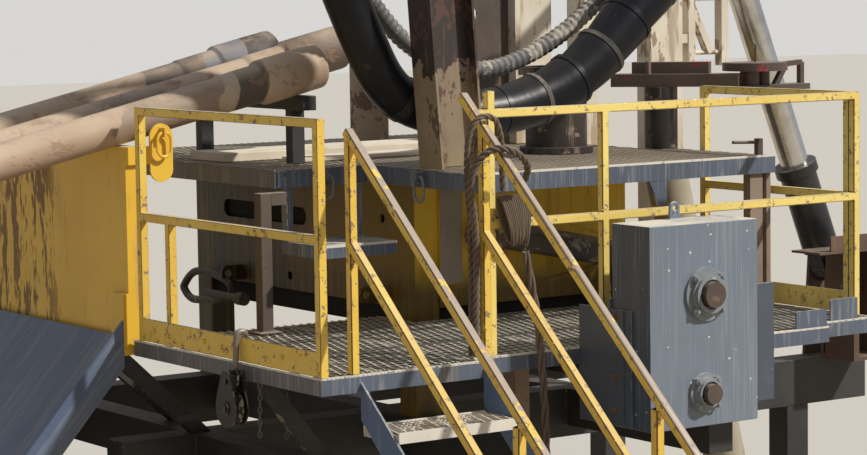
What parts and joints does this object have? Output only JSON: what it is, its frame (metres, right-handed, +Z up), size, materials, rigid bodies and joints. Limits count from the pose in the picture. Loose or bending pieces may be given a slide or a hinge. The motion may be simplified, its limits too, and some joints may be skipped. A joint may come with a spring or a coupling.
{
  "type": "water well drilling rig work floor",
  "caption": "Raised work floor of a water well drilling rig with guard rails, stair, pipe slide, drill pipes, mast foot, air hose and chain case.",
  "frame": {"origin": "centre of the footprint, on the ground", "axes": "+Z up, +X along the drill pipes towards the mast cylinder, +Y from the stair to the back"},
  "size_m": [9.469, 5.45, 4.6],
  "materials": {
    "yellow_paint": "worn",
    "grey_paint": "worn",
    "grating_steel": "worn",
    "drill_pipe_steel": "rusty",
    "dark_steel": "worn",
    "rusty_steel": "rusty",
    "pale_paint": "worn",
    "cylinder_chrome": "polished",
    "black_paint": "worn",
    "hose_rubber": "dusty",
    "rope_fibre": "worn"
  },
  "bodies": {
    "frame": {"air_hoses": "hose_rubber", "base_beams": "dark_steel", "case_bracket": "grey_paint", "chain_case": "grey_paint", "core_legs": "dark_steel", "core_panels": "yellow_paint", "corner_post": "rusty_steel", "cylinder_barrel": "black_paint", "cylinder_foot": "rusty_steel", "cylinder_rod": "cylinder_chrome", "deck_posts": "yellow_paint", "deck_sills": "yellow_paint", "drill_pipe_back": "drill_pipe_steel", "drill_pipe_front": "drill_pipe_steel", "drill_pipe_middle": "drill_pipe_steel", "dust_duct": "hose_rubber", "end_rail": "yellow_paint", "front_rail": "yellow_paint", "guide_channel": "rusty_steel", "half_step": "grey_paint", "hose_hangers": "dark_steel", "knee_braces": "dark_steel", "left_rail": "yellow_paint", "lift_lever": "dark_steel", "lower_deck_frame": "grey_paint", "lower_deck_grating": "grating_steel", "mast_guide": "rusty_steel", "mast_ladder": "rusty_steel", "mast_left_frame": "pale_paint", "mast_right_frame": "pale_paint", "mast_ties": "pale_paint", "pipe_ramp": "grey_paint", "pipe_rest": "dark_steel", "pipe_trestle": "dark_steel", "rope_hank": "rope_fibre", "rope_hitch": "rope_fibre", "rope_loop": "rope_fibre", "rope_tail": "rope_fibre", "round_post": "grating_steel", "shaft_bearings": "grey_paint", "side_wall": "yellow_paint", "stair_rails": "yellow_paint", "stair_stringers": "grey_paint", "stair_treads": "grating_steel", "suction_fittings": "dark_steel", "suction_hose": "hose_rubber", "support_legs": "dark_steel", "upper_deck_frame": "grey_paint", "upper_deck_grating": "grating_steel", "well_drum": "dark_steel", "wrench_arm": "dark_steel", "wrench_disc": "dark_steel", "wrench_post": "dark_steel"},
    "upper_shaft": {"upper_shaft": "dark_steel"},
    "lower_shaft": {"lower_shaft": "dark_steel"},
    "snatch_block": {"snatch_block": "dark_steel"},
    "snatch_sheave": {"snatch_sheave": "dark_steel"},
    "wall_ring": {"wall_ring": "yellow_paint"},
    "left_deck_ring": {"left_deck_ring": "grey_paint"},
    "right_deck_ring": {"right_deck_ring": "grey_paint"}
  },
  "joints": [
    {"name": "upper_shaft_spin", "type": "hinge", "parent": "frame", "child": "upper_shaft", "pos_m": [1.85745, -1.235, 1.953], "axis": [0, 1, 0], "continuous": true},
    {"name": "lower_shaft_spin", "type": "hinge", "parent": "frame", "child": "lower_shaft", "pos_m": [1.84945, -1.235, 1.522], "axis": [0, 1, 0], "continuous": true},
    {"name": "block_swing", "type": "hinge", "parent": "frame", "child": "snatch_block", "pos_m": [0.13745, -0.195, 1.809], "axis": [0, 1, 0], "range_deg": [0, 45]},
    {"name": "sheave_spin", "type": "hinge", "parent": "snatch_block", "child": "snatch_sheave", "pos_m": [0.08545, -0.195, 1.509], "axis": [1, 0, 0], "continuous": true},
    {"name": "wall_ring_swing", "type": "hinge", "parent": "frame", "child": "wall_ring", "pos_m": [0.29445, 0.725, 2.645], "axis": [-1, 0, 0], "range_deg": [0, 80]},
    {"name": "left_ring_swing", "type": "hinge", "parent": "frame", "child": "left_deck_ring", "pos_m": [1.09245, 0.607, 2.414], "axis": [-1, 0, 0], "range_deg": [0, 80]},
    {"name": "right_ring_swing", "type": "hinge", "parent": "frame", "child": "right_deck_ring", "pos_m": [1.32145, 0.171, 2.414], "axis": [0, 1, 0], "range_deg": [0, 80]}
  ],
  "couplings": [
    {"joint": "lower_shaft_spin", "follows": "upper_shaft_spin", "ratio": 1.5}
  ]
}
